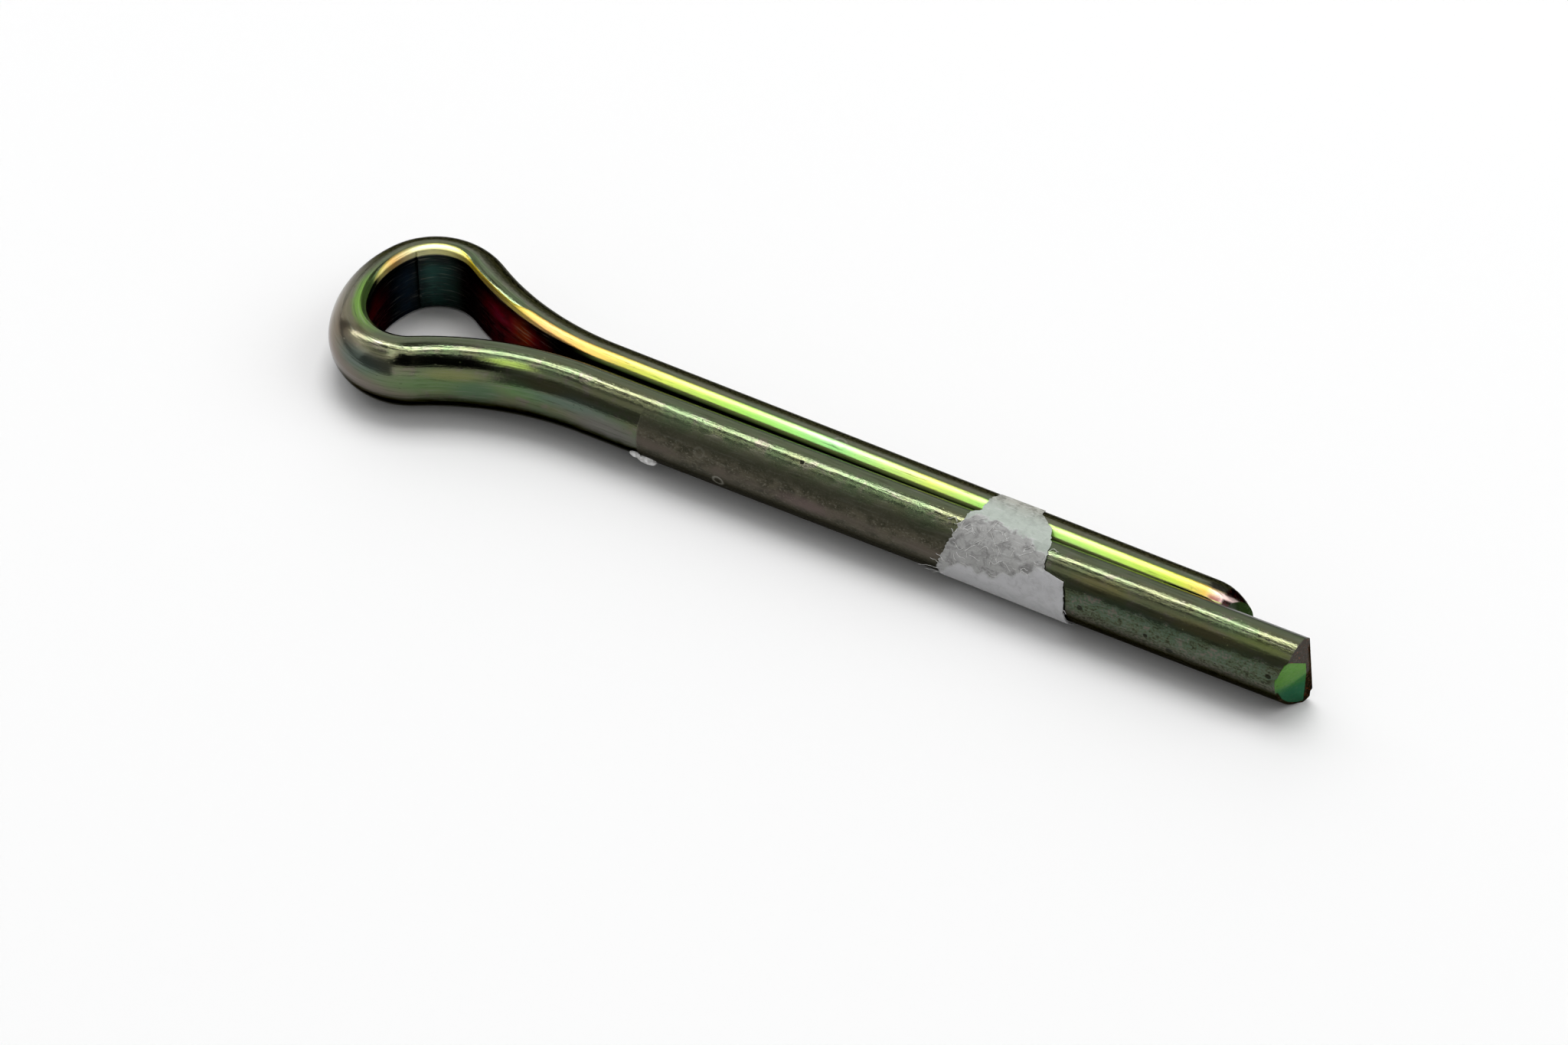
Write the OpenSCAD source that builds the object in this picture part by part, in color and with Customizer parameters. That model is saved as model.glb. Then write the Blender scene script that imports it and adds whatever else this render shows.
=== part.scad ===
// Cotter pin: one length of half-round wire, folded into an eye and two legs
// that lie flat to flat, with a torn scrap of paper tape left round the legs.
//
// The origin is the seat point: on the pin's axis, where the eye meets the rim
// of the hole. +X runs along the legs to their tips, the eye is on -X, and the
// pin lies on its side on a flat surface, with +Z up. Sizes are in millimetres.

/* [Wire] */
// Height of the half-round wire, which is the diameter of the closed pin
wire_height = 4.4; // [3.6:0.1:6]
// Thickness of the wire, from its flat to the crown of its round back
wire_thick = 2.05; // [1.7:0.05:2.6]
// Radius of the two long edges of the flat
edge_r = 0.4; // [0.2:0.05:0.6]

/* [Eye] */
// Inside radius of the eye's head
head_r = 4.7; // [3:0.1:8]
// Angle that the head turns through on each side of the axis
head_half_angle = 25; // [10:1:40]
// Inside radius of the eye's two shoulders
shoulder_r = 2.3; // [1.6:0.1:4]
// Radius of the neck, where each side of the eye runs out into its leg
neck_r = 18.1; // [12:0.1:30]

/* [Legs] */
// Length of the short leg from the seat point
short_leg = 35.5; // [20:0.5:60]
// How far the long leg stands out past the short one
leg_lead = 4.7; // [2:0.1:8]
// Gap between the two flats at the seat point
seat_gap = 0.85; // [0.6:0.05:1.6]
// Gap between the two flats at the short leg's tip
tip_gap = 0.35; // [0.2:0.05:0.9]

/* [Leg tips] */
// Slant of the sheared ends, seen from above
cut_slant = 16; // [0:1:30]
// Lean of the sheared ends, seen from the side
cut_lean = 5; // [0:1:15]
// Length of the bevel on the back of the short leg's tip
short_bevel = 1.3; // [0.4:0.1:2]
// Length of the bevel on the back of the long leg's tip
long_bevel = 0.7; // [0.3:0.1:2]
// Depth of both bevels
bevel_depth = 0.45; // [0.2:0.05:0.8]

/* [Tape scrap] */
// Middle of the scrap, measured from the seat point
tape_x = 24.4; // [12:0.2:28]
// Width of the tape that the scrap was torn from
tape_w = 7; // [5:0.5:9]
// Thickness of the paper
tape_thick = 0.12; // [0.08:0.01:0.2]
// Clearance between the paper and the widest place under it
tape_clear = 0.02; // [0.01:0.01:0.1]
// Angle from the top at which the scrap ends under the long leg
tape_near = 140; // [100:1:145]
// Angle from the top at which it ends behind the short leg
tape_far = 72; // [40:1:110]
// Depth of the small tears along its edges
tear = 0.12; // [0:0.01:0.3]

/* [Hidden] */

half = wire_height / 2;
eps = 0.01;

// the round back: one circle that meets both edge circles smoothly
back_r = (pow(wire_thick - edge_r, 2) + pow(half - edge_r, 2) - pow(edge_r, 2))
    / (2 * (wire_thick - 2 * edge_r));
back_x = wire_thick - back_r;
edge_z = half - edge_r;
meet = atan2(edge_z, edge_r - back_x);

// the legs close up by this angle on each side, from the seat to the tips
long_leg = short_leg + leg_lead;
leg_angle = atan((seat_gap - tip_gap) / 2 / short_leg);
function half_gap(x) = seat_gap / 2 - x * tan(leg_angle);

// One side of the pin is laid out from the middle of its head with its leg along
// +X, and is then turned as a whole by leg_angle. Each arc is tangent to the
// next. The angles are whole thousandths of a degree, so that two neighbours end
// on the same plane.
function thousandths(angle) = round(1000 * angle) / 1000;
function direction(angle) = [cos(angle), sin(angle)];
neck_y = seat_gap / 2 + neck_r * cos(leg_angle);
shoulder_y = (head_r - shoulder_r) * sin(head_half_angle);
neck_slope = asin((neck_y - shoulder_y) / (neck_r + shoulder_r));
head_to = thousandths(180 - head_half_angle + leg_angle);
neck_from = thousandths(neck_slope + leg_angle);
shoulder_c = (head_r - shoulder_r) * direction(head_to);
neck_c = shoulder_c + (neck_r + shoulder_r) * direction(neck_from);
seat = neck_c - [0, neck_r];
head_x = -(seat.x * cos(leg_angle) + seat.y * sin(leg_angle));

// the paper's inside radius on the backs of the legs
tape_start = tape_x - tape_w / 2;
wrap_round_r = back_r + abs(half_gap(tape_start) + back_x) + tape_clear;

$fn = 40;

// Section of the wire: its flat on the line x = 0 and its round back towards +X
module wire_section() {
    reach = 3 * wire_height;
    out_x = edge_r + reach * cos(meet);
    out_z = edge_z + reach * sin(meet);
    union() {
        for (side = [-1, 1]) translate([edge_r, side * edge_z]) circle(edge_r);
        intersection() {
            translate([back_x, 0]) circle(back_r);
            polygon([
                [0, -edge_z], [0, edge_z], [edge_r, edge_z], [out_x, out_z],
                [out_x, -out_z], [edge_r, -edge_z]
            ]);
        }
    }
}

// Moves a piece to its place in two steps, a round one and the rest, so that no
// digit of it is lost
module placed(at) {
    coarse = [round(100 * at.x) / 100, round(100 * at.y) / 100];
    translate(coarse) translate(at - coarse) children();
}

// A bend with the flat on its inside, swept from start through turn degrees
module bend_flat_in(r, start, turn) {
    rotate_extrude(angle = turn, start = start)
        translate([r, 0]) wire_section();
}

// A bend with the flat on its outside
module bend_flat_out(r, start, turn) {
    rotate_extrude(angle = turn, start = start)
        translate([r, 0]) mirror([1, 0]) wire_section();
}

// Half of the head, on +Y, cut off on the pin's middle plane
module half_head() {
    block = 4 * head_r;
    difference() {
        rotate([0, 0, -leg_angle])
            bend_flat_in(head_r, head_to, head_half_angle + 10);
        translate([-block, -block, -block / 2]) cube(block);
    }
}

// One straight leg from the seat
module straight_leg(length) {
    rotate([0, 0, -leg_angle]) placed(seat) rotate([90, 0, 90])
        linear_extrude(height = length / cos(leg_angle)) wire_section();
}

// What the shear takes off beyond a leg's tip: slanted in plan, and leaning in
// side view so that the lower edge stands out furthest
module shear_cut(tip_x, slant) {
    block = 4 * wire_height;
    translate([tip_x, 0, 0]) rotate([0, -cut_lean, slant])
        translate([0, -block / 2, -block / 2]) cube(block);
}

// What the file takes off the back of a leg's tip: a cone round the back's axis
module tip_bevel(tip_x, length) {
    past = wire_thick;
    slope = bevel_depth / length;
    axis_y = half_gap(tip_x) + back_x;
    translate([tip_x - length, axis_y, 0]) rotate([0, 90, 0]) rotate_extrude()
        polygon([
            [back_r + slope * length, -length],
            [back_r - slope * (length + past), length + past],
            [back_r + wire_thick, length + past],
            [back_r + wire_thick, -length]
        ]);
}

// One side of the pin, on +Y: half the head, shoulder, neck and leg
module pin_side(length, bevel, slant) {
    half_head();
    rotate([0, 0, -leg_angle]) {
        placed(shoulder_c)
            bend_flat_in(shoulder_r, neck_from, head_to - neck_from);
        placed(neck_c)
            bend_flat_out(neck_r, 180 + neck_from, 90 - neck_from);
    }
    difference() {
        straight_leg(length + wire_thick);
        translate([-head_x, 0, 0]) {
            shear_cut(length, slant);
            tip_bevel(length, bevel);
        }
    }
}

module cotter_pin() {
    color([0.42, 0.44, 0.30]) translate([head_x, 0, 0]) union() {
        pin_side(short_leg, short_bevel, -cut_slant);
        mirror([0, 1, 0]) pin_side(long_leg, long_bevel, cut_slant);
    }
}

// Inside radius of the wrap at an angle from the top: round on the backs of the
// legs, and stretched flat across the gap between them
function wrap_r(angle) =
    let (flat_r = (half + tape_clear) / max(cos(angle), eps))
    cos(angle) > 0.5 ? min(wrap_round_r, flat_r) : wrap_round_r;

// What is torn off the tape's width, on the eye's side and on the tips' side,
// as [share of the way round from the far end to the near one, depth]
torn_eye_side = [
    [0, 2.2], [0.24, 1.3], [0.38, 1.0], [0.43, 0.7], [0.62, 0.3], [0.81, -0.1],
    [0.9, 0], [1, 0.9]
];
torn_tip_side = [
    [0, 4.2], [0.24, 3.1], [0.31, 2.3], [0.43, 1.7], [0.57, 1.5], [0.6, 0.4],
    [0.72, 0.2], [1, 0.1]
];
function ragged(angle) = tear * (sin(31 * angle) + 0.7 * sin(17 * angle + 40));
function left_x(share, angle) =
    tape_x - tape_w / 2 + lookup(share, torn_eye_side) + ragged(angle);
function right_x(share, angle) =
    tape_x + tape_w / 2 - lookup(share, torn_tip_side) + ragged(angle + 90);

// The scrap lies round the legs as one curved sheet of even thickness
module paper_tape_scrap() {
    steps = 54;
    turn = tape_near + tape_far;
    ring = [
        for (i = [0:steps])
            let (
                share = i / steps, angle = share * turn - tape_far,
                r = wrap_r(angle), out = r + tape_thick,
                left = left_x(share, angle), right = right_x(share, angle)
            )
            each [
                for (corner = [[left, r], [right, r], [right, out], [left, out]])
                    [corner[0], -corner[1] * sin(angle), corner[1] * cos(angle)]
            ]
    ];
    last = 4 * steps;
    color([0.66, 0.66, 0.63]) polyhedron(
        points = ring,
        faces = concat(
            [[0, 1, 2, 3], [last + 3, last + 2, last + 1, last]],
            [
                for (i = [0:steps - 1], k = [0:3])
                    let (a = 4 * i + k, b = 4 * i + (k + 1) % 4)
                    [a, a + 4, b + 4, b]
            ]
        )
    );
}

cotter_pin();
paper_tape_scrap();
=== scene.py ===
# %% [markdown]
# # A cotter pin
#
# A cotter pin is one length of half-round wire, folded in the middle into an
# eye, so that the two flats meet and the legs close into one round shank. This
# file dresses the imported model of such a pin: it keeps the model's sizes, draws
# the wire again as one continuous mesh with worn edges and sheared tips, and
# gives it the yellow, rainbow-tinted finish of passivated zinc. A torn scrap of
# the paper tape that such small parts are banded with is stuck round the legs.

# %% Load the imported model
from math import asin, atan, atan2, cos, degrees, hypot, pi, radians, sin, tan

import bpy
import numpy as np
from mathutils import Matrix, Vector


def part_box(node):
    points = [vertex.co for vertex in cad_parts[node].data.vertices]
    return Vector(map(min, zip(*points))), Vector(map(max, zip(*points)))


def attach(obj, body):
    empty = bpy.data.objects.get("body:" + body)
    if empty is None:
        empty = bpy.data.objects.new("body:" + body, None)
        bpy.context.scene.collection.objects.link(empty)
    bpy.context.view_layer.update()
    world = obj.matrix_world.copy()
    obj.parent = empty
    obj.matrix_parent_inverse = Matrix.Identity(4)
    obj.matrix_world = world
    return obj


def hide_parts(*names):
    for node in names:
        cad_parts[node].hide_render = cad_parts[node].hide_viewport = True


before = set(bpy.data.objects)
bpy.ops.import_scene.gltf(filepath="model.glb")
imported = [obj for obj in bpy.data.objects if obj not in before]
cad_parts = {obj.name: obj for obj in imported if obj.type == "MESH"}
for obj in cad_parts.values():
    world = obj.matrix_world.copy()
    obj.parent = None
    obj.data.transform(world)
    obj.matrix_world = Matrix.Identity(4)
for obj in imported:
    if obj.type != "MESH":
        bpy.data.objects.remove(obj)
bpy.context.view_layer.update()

pin_low, pin_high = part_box("cotter_pin")

# %% [markdown]
# ## The wire's sizes
#
# The half-round section is as high as the model's pin, which lies on its side.
# What the box can't tell, such as the radii of the eye, is named here. The
# origin is the seat point, where the eye runs out into the two legs; X runs
# along the legs, and the wire's flats face the middle plane y = 0.

# %% Sizes of the wire and of the eye
MM = 0.001
wire_height = pin_high.z - pin_low.z
wire_thick = 2.05 * MM
edge_r = 0.4 * MM
head_r = 4.7 * MM
head_half_angle = radians(25)
shoulder_r = 2.3 * MM
neck_r = 18.1 * MM
seat_gap = 0.85 * MM
tip_gap = 0.35 * MM
short_leg = 35.5 * MM
long_leg = short_leg + 4.7 * MM

half = wire_height / 2
edge_z = half - edge_r
back_r = ((wire_thick - edge_r) ** 2 + edge_z ** 2 - edge_r ** 2) / (
    2 * (wire_thick - 2 * edge_r))
back_t = wire_thick - back_r
meet = atan2(edge_z, edge_r - back_t)
leg_angle = atan((seat_gap - tip_gap) / 2 / short_leg)
print("round back, mm:", round(back_r / MM, 3), " legs close by, deg:",
      round(degrees(leg_angle), 3))


# %% Where the bends lie
def side_point(x, y, side):
    """A point on one side of the pin: side is -1 for the long leg, 1 for the short."""
    return Vector((x, side * y, 0))


neck_x = neck_r * sin(leg_angle)
neck_y = seat_gap / 2 + neck_r * cos(leg_angle)
shoulder_y = (head_r - shoulder_r) * sin(head_half_angle)
neck_slope = asin((neck_y - shoulder_y) / (neck_r + shoulder_r))
shoulder_x = neck_x - (neck_r + shoulder_r) * cos(neck_slope)
head_x = shoulder_x + (head_r - shoulder_r) * cos(head_half_angle)

neck_turn = pi / 2 - leg_angle - neck_slope
shoulder_turn = pi - head_half_angle - neck_slope
print("head's centre, mm:", round(head_x / MM, 3), " shoulder's:",
      round(shoulder_x / MM, 3), round(shoulder_y / MM, 3))

# %% [markdown]
# ## Draw the wire as it is made
#
# The mill draws the half-round wire and a machine folds it, and the mesh is
# made in the same order. One point is spun about the centres of the section's
# arcs, which draws the outline. The outline is then extruded along the long
# leg, spun round the neck, the shoulder, the head, and back down the far side.
# Chained spins keep one even net of faces from tip to tip, without a seam.


# %% Helpers for working in edit mode
def set_mode(name):
    bpy.ops.object.mode_set(mode=name)


def edit_all():
    """Goes into edit mode with the whole piece selected."""
    set_mode("EDIT")
    bpy.ops.mesh.select_all(action="SELECT")


def deselect_everything():
    if bpy.context.object and bpy.context.object.mode != "OBJECT":
        set_mode("OBJECT")
    bpy.ops.object.select_all(action="DESELECT")


def pick(piece, kind, wanted):
    """Selects the piece's faces, edges or vertices for which wanted(item) is true."""
    set_mode("OBJECT")
    mesh = piece.data
    for group in (mesh.vertices, mesh.edges, mesh.polygons):
        group.foreach_set("select", np.zeros(len(group), dtype=bool))
    items = {"FACE": mesh.polygons, "EDGE": mesh.edges, "VERT": mesh.vertices}[kind]
    for item in items:
        if wanted(item):
            item.select = True
    set_mode("EDIT")
    bpy.ops.mesh.select_mode(type=kind)


def single_point(name, place):
    """A new piece that is one vertex, selected in edit mode."""
    deselect_everything()
    bpy.ops.mesh.primitive_circle_add(vertices=3, radius=MM, location=(0, 0, 0))
    piece = bpy.context.object
    piece.name = piece.data.name = name
    set_mode("EDIT")
    bpy.ops.mesh.select_mode(type="VERT")
    bpy.ops.mesh.select_all(action="SELECT")
    bpy.ops.mesh.merge(type="CENTER")
    bpy.ops.transform.translate(value=place)
    return piece


def turn_outward(piece):
    """Makes a closed piece's faces agree, and turns them so that it has a volume > 0."""
    edit_all()
    bpy.ops.mesh.normals_make_consistent(inside=False)
    set_mode("OBJECT")
    mesh = piece.data
    mesh.calc_loop_triangles()
    place = [v.co.copy() for v in mesh.vertices]
    volume = sum(place[a].dot(place[b].cross(place[c])) for a, b, c in (
        t.vertices for t in mesh.loop_triangles)) / 6
    if volume < 0:
        set_mode("EDIT")
        bpy.ops.mesh.flip_normals()
        set_mode("OBJECT")
    print(piece.name, "holds, mm3:", round(abs(volume) / MM ** 3, 1))


# %% Lay out the section
spare = 2 * MM
weld = 0.01 * MM
along = Vector((cos(leg_angle), sin(leg_angle), 0))
outward = Vector((sin(leg_angle), -cos(leg_angle), 0))
upward = Vector((0, 0, 1))
start = side_point(0, seat_gap / 2, -1) + along * (long_leg + spare)

# closing the legs pressed the inner edges into a narrow facet with soft corners
facet_tilt = radians(33)
crown_corner_r = 0.38 * MM
flat_corner_r = 0.12 * MM
lean = sin(facet_tilt)
facet_width = (edge_r - crown_corner_r * lean - flat_corner_r * (1 - lean)) / cos(
    facet_tilt)
facet_step = Vector((cos(facet_tilt), sin(facet_tilt))) * facet_width
facet_top = (half - crown_corner_r) + crown_corner_r * cos(facet_tilt)
flat_top = facet_top - facet_step.y - flat_corner_r * cos(facet_tilt)
print("facet's width, mm:", round(facet_width / MM, 3))


# %% Draw the half-round outline beyond the long leg's tip
def on_section(t, z):
    return start + outward * t + upward * z


def arc(t, z, turn, steps):
    bpy.ops.mesh.spin(steps=steps, angle=turn, center=on_section(t, z), axis=along)


def extrude(by):
    bpy.ops.mesh.extrude_region_move(TRANSFORM_OT_translate={"value": by})


def line(t, z):
    extrude(outward * t + upward * z)


wire = single_point("pin_wire", on_section(0, -flat_top))
quarter = pi / 2
arc(flat_corner_r, -flat_top, quarter - facet_tilt, 4)
line(facet_step.x, -facet_step.y)
arc(edge_r, -half + crown_corner_r, facet_tilt, 5)
arc(edge_r, -edge_z, quarter - meet, 2)
arc(back_t, 0, 2 * meet, 36)
arc(edge_r, edge_z, quarter - meet, 2)
arc(edge_r, half - crown_corner_r, facet_tilt, 5)
line(-facet_step.x, -facet_step.y)
arc(flat_corner_r, flat_top, quarter - facet_tilt, 4)
line(0, -2 * flat_top)


# %% Divide the flat's one long edge
def length_of(edge):
    a, b = edge.vertices
    return (wire.data.vertices[a].co - wire.data.vertices[b].co).length


flat_rows = 14
pick(wire, "EDGE", lambda e: length_of(e) > edge_z)
bpy.ops.mesh.subdivide(number_cuts=flat_rows - 1)
bpy.ops.mesh.select_all(action="SELECT")
bpy.ops.mesh.remove_doubles(threshold=weld)
set_mode("OBJECT")
print("points round the section:", len(wire.data.vertices))


# %% Extrude and spin the outline round the whole pin
neck_steps, shoulder_steps, head_steps = 44, 34, 26


def bend(centre, turn, steps):
    """Spins the end of the wire about an upright axis; a positive turn is clockwise."""
    bpy.ops.mesh.spin(steps=steps, angle=turn, center=centre, axis=(0, 0, 1))


edit_all()
extrude(-along * (long_leg + spare))
bend(side_point(neck_x, neck_y, -1), -neck_turn, neck_steps)
bend(side_point(shoulder_x, shoulder_y, -1), shoulder_turn, shoulder_steps)
bend(side_point(head_x, 0, 1), 2 * head_half_angle, head_steps)
bend(side_point(shoulder_x, shoulder_y, 1), shoulder_turn, shoulder_steps)
bend(side_point(neck_x, neck_y, 1), -neck_turn, neck_steps)
extrude(Vector((along.x, -along.y, 0)) * (short_leg + spare))
bpy.ops.mesh.select_all(action="SELECT")
bpy.ops.mesh.remove_doubles(threshold=weld)
bpy.ops.mesh.normals_make_consistent(inside=False)
set_mode("OBJECT")
print("faces:", len(wire.data.polygons))

# %% [markdown]
# ## Shear the tips
#
# The wire is cut from the coil by a pair of blades, so each end is a slanted
# plane and not a square one. Bisect cuts the mesh with the same planes as the
# model and closes the ends. Only then are the long edges divided into short
# steps, so that the rings of the net follow the slant.

# %% Cut both ends with a slanted plane
cut_slant = radians(16)
cut_lean = radians(5)
shear_normal = Vector((cos(cut_slant) * cos(cut_lean),
                       -sin(cut_slant) * cos(cut_lean), sin(cut_lean)))


def cut_leg(place, normal, side):
    """Cuts off one leg beyond a plane: side is -1 for the long leg, 1 for the short."""
    pick(wire, "FACE", lambda f: f.center.x > 0 and f.center.y * side > 0)
    bpy.ops.mesh.bisect(plane_co=place, plane_no=normal, use_fill=True, clear_outer=True)


cut_leg((long_leg, 0, 0), shear_normal, -1)
cut_leg((short_leg, 0, 0), shear_normal, 1)
print("faces with the ends:", len(wire.data.polygons))

# %% Divide the legs into short steps
step = 0.25 * MM
for side, leg in ((-1, long_leg), (1, short_leg)):
    pick(wire, "EDGE", lambda e: length_of(e) > short_leg / 2
         and wire.data.vertices[e.vertices[0]].co.y * side > 0)
    bpy.ops.mesh.subdivide(number_cuts=round(leg / step))
turn_outward(wire)
print("faces:", len(wire.data.polygons))

# %% [markdown]
# ## Press the short leg's inner edge
#
# Where the legs were squeezed together, the upper inner edge of the short leg
# was pressed wider, and it catches the light all along the leg. The points of
# the flat's upper half slide down the facet in small steps. Each step starts
# further along, so that the wider facet fades in.

# %% Widen the facet along the short leg
lip = 0.2 * MM
down_the_facet = -Vector((sin(leg_angle), cos(leg_angle), tan(facet_tilt)))
skin = 0.1 * MM
fade_from, fade_step, fade_steps = -6 * MM, 0.5 * MM, 12


def out_from_flat(co):
    if co.x > neck_x:
        return co.x * sin(leg_angle) + (co.y - seat_gap / 2) * cos(leg_angle)
    return neck_r - hypot(co.x - neck_x, co.y - neck_y)


for k in range(fade_steps):
    pick(wire, "VERT", lambda v: v.co.y > 0 and v.co.z > 0
         and v.co.x > fade_from + k * fade_step and out_from_flat(v.co) < skin)
    bpy.ops.transform.translate(value=down_the_facet * lip / fade_steps)
set_mode("OBJECT")
print("points on the pressed edge:", sum(v.select for v in wire.data.vertices))

# %% [markdown]
# ## Finish the tips
#
# The die that folds the pin leaves a bevel on the round back of each tip, so
# that the pin finds its hole. On the short leg it is a soft nose: the end ring
# is squeezed towards the axis of the back, and proportional editing lets the
# rings behind it follow less and less. On the long leg it is one flat facet,
# which bisect cuts. Each cut face is marked, because it takes a tint of its own.


# %% Round the short leg's nose
squeezed_by = 0.6 * MM
squeeze_reach = 1.5 * MM


def end_face(side):
    return max((f for f in wire.data.polygons if f.center.y * side > 0),
               key=lambda f: f.area)


ring = set(end_face(1).vertices)
gap = seat_gap / 2 - short_leg * tan(leg_angle)
axis = side_point(short_leg, gap + back_t, 1)
pick(wire, "VERT", lambda v: v.index in ring
     and Vector((0, v.co.y - axis.y, v.co.z)).length > 0.93 * back_r)
squeeze = 1 - squeezed_by / back_r
bpy.ops.transform.resize(
    value=(1, squeeze, squeeze), center_override=axis, use_proportional_edit=True,
    use_proportional_connected=True, proportional_edit_falloff="SHARP",
    proportional_size=squeeze_reach)
set_mode("OBJECT")
print("points on the nose's rim:", len(ring))

# %% Helpers for marking the tips
wire.data.attributes.new("tip_face", "FLOAT", "FACE")


def mark(value, wanted):
    """Gives the wire's wanted faces a number that the material can read."""
    marks = wire.data.attributes["tip_face"].data
    found = [f.index for f in wire.data.polygons if wanted(f)]
    for index in found:
        marks[index].value = value
    print("faces marked", value, ":", len(found))


def lies_on(face, normal, side):
    return (face.normal.dot(normal) > 0.9999 and face.center.x > short_leg / 2
            and face.center.y * side > 0)


# %% Cut the long leg's facet and mark the faces
facet_place = (long_leg - 0.145 * MM, -0.5 * MM, 0)
facet_normal = Vector((1, -0.5, -0.03)).normalized()
cut_leg(facet_place, facet_normal, -1)
turn_outward(wire)
mark(1, lambda f: lies_on(f, shear_normal, -1))
mark(2, lambda f: lies_on(f, facet_normal, -1))
short_end = end_face(1).index
mark(3, lambda f: f.index == short_end)

# %% [markdown]
# ## A crease in the head
#
# Where the eye was bent hardest, the skin of the flat folded into a fine
# upright crease. One row of points on the inside of the head is pushed in.

# %% Push in one row of points
crease_turn = radians(40)
crease_depth = 0.07 * MM
crease_centre = side_point(shoulder_x, shoulder_y, 1)


def on_crease(v):
    from_centre = v.co - crease_centre
    turn = atan2(from_centre.y, -from_centre.x)
    return (abs(turn - crease_turn) < shoulder_turn / shoulder_steps / 2
            and from_centre.xy.length < shoulder_r + weld)


pick(wire, "VERT", on_crease)
bpy.ops.transform.translate(value=crease_depth * Vector(
    (-cos(crease_turn), sin(crease_turn), 0)))
set_mode("OBJECT")
print("points in the crease:", sum(v.select for v in wire.data.vertices))

# %% Let the wire stand for the model's pin
bpy.ops.object.shade_smooth_by_angle(angle=radians(30))
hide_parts("cotter_pin")
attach(wire, "root")

# %% [markdown]
# ## Measure the wire along its length
#
# The tint of the passivated zinc drifts along the wire and changes across its
# edges, wherever the wire bends to. So each point of the mesh is given its place
# on the wire as it was before folding, in millimetres: how far along from the
# middle of the head, how far out from the flat, and how high. The material reads
# these three numbers, and its patterns then follow the wire round the eye.

# %% Work out each point's place on the unfolded wire
head_end = head_r * head_half_angle
shoulder_end = head_end + shoulder_r * shoulder_turn
neck_end = shoulder_end + neck_r * neck_turn


def unfold(points):
    """Distance along the wire, out from its flat and up, for an array of points."""
    x, y, z = points.T
    side, y = np.where(y < 0, -1, 1), np.abs(y)
    at_head = np.arctan2(y, head_x - x)
    at_shoulder = np.arctan2(y - shoulder_y, shoulder_x - x)
    at_neck = np.arctan2(neck_y - y, neck_x - x)
    on_head = at_head <= head_half_angle
    on_neck = (at_neck >= neck_slope) & (at_neck < pi / 2 - leg_angle)
    on_neck &= ~on_head & (x > shoulder_x)
    on_leg = at_neck >= pi / 2 - leg_angle
    places = [on_head, on_leg, on_neck]
    along = np.select(places, [
        head_r * at_head,
        neck_end + x * cos(leg_angle),
        shoulder_end + neck_r * (at_neck - neck_slope),
    ], head_end + shoulder_r * (at_shoulder - head_half_angle))
    out = np.select(places, [
        np.hypot(x - head_x, y) - head_r,
        x * sin(leg_angle) + (y - seat_gap / 2) * cos(leg_angle),
        neck_r - np.hypot(x - neck_x, y - neck_y),
    ], np.hypot(x - shoulder_x, y - shoulder_y) - shoulder_r)
    return np.column_stack([side * along, out, z])


# %% Write it on the mesh
points = np.empty(3 * len(wire.data.vertices))
wire.data.vertices.foreach_get("co", points)
places = unfold(points.reshape(-1, 3)) / MM
measured = wire.data.attributes.new("wire", "FLOAT_VECTOR", "POINT")
measured.data.foreach_set("vector", places.ravel())
print("wire, mm: along %.1f to %.1f, out %.2f to %.2f" % (
    places[:, 0].min(), places[:, 0].max(), places[:, 1].min(), places[:, 1].max()))


# %% [markdown]
# ## A short way to write materials
#
# A finish that changes along a wire takes hundreds of nodes, so a small class
# adds a node with each call. The calls read as a painter works: a mask says
# where, and a tint is laid over what is there.

# %% Helpers for materials
def new_material(name):
    """A new material, and the hand that builds its nodes."""
    material = bpy.data.materials.new(name)
    material.use_nodes = True
    return material, Nodes(material.node_tree)


def wear(material, *pieces):
    for piece in pieces:
        piece.data.materials.clear()
        piece.data.materials.append(material)


def tone(red, green, blue):
    """A colour written as it looks on a screen, from 0 to 255, as the linear one."""
    return [v / 12.92 if v <= 0.04045 else ((v + 0.055) / 1.055) ** 2.4
            for v in (red / 255, green / 255, blue / 255)]


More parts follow.
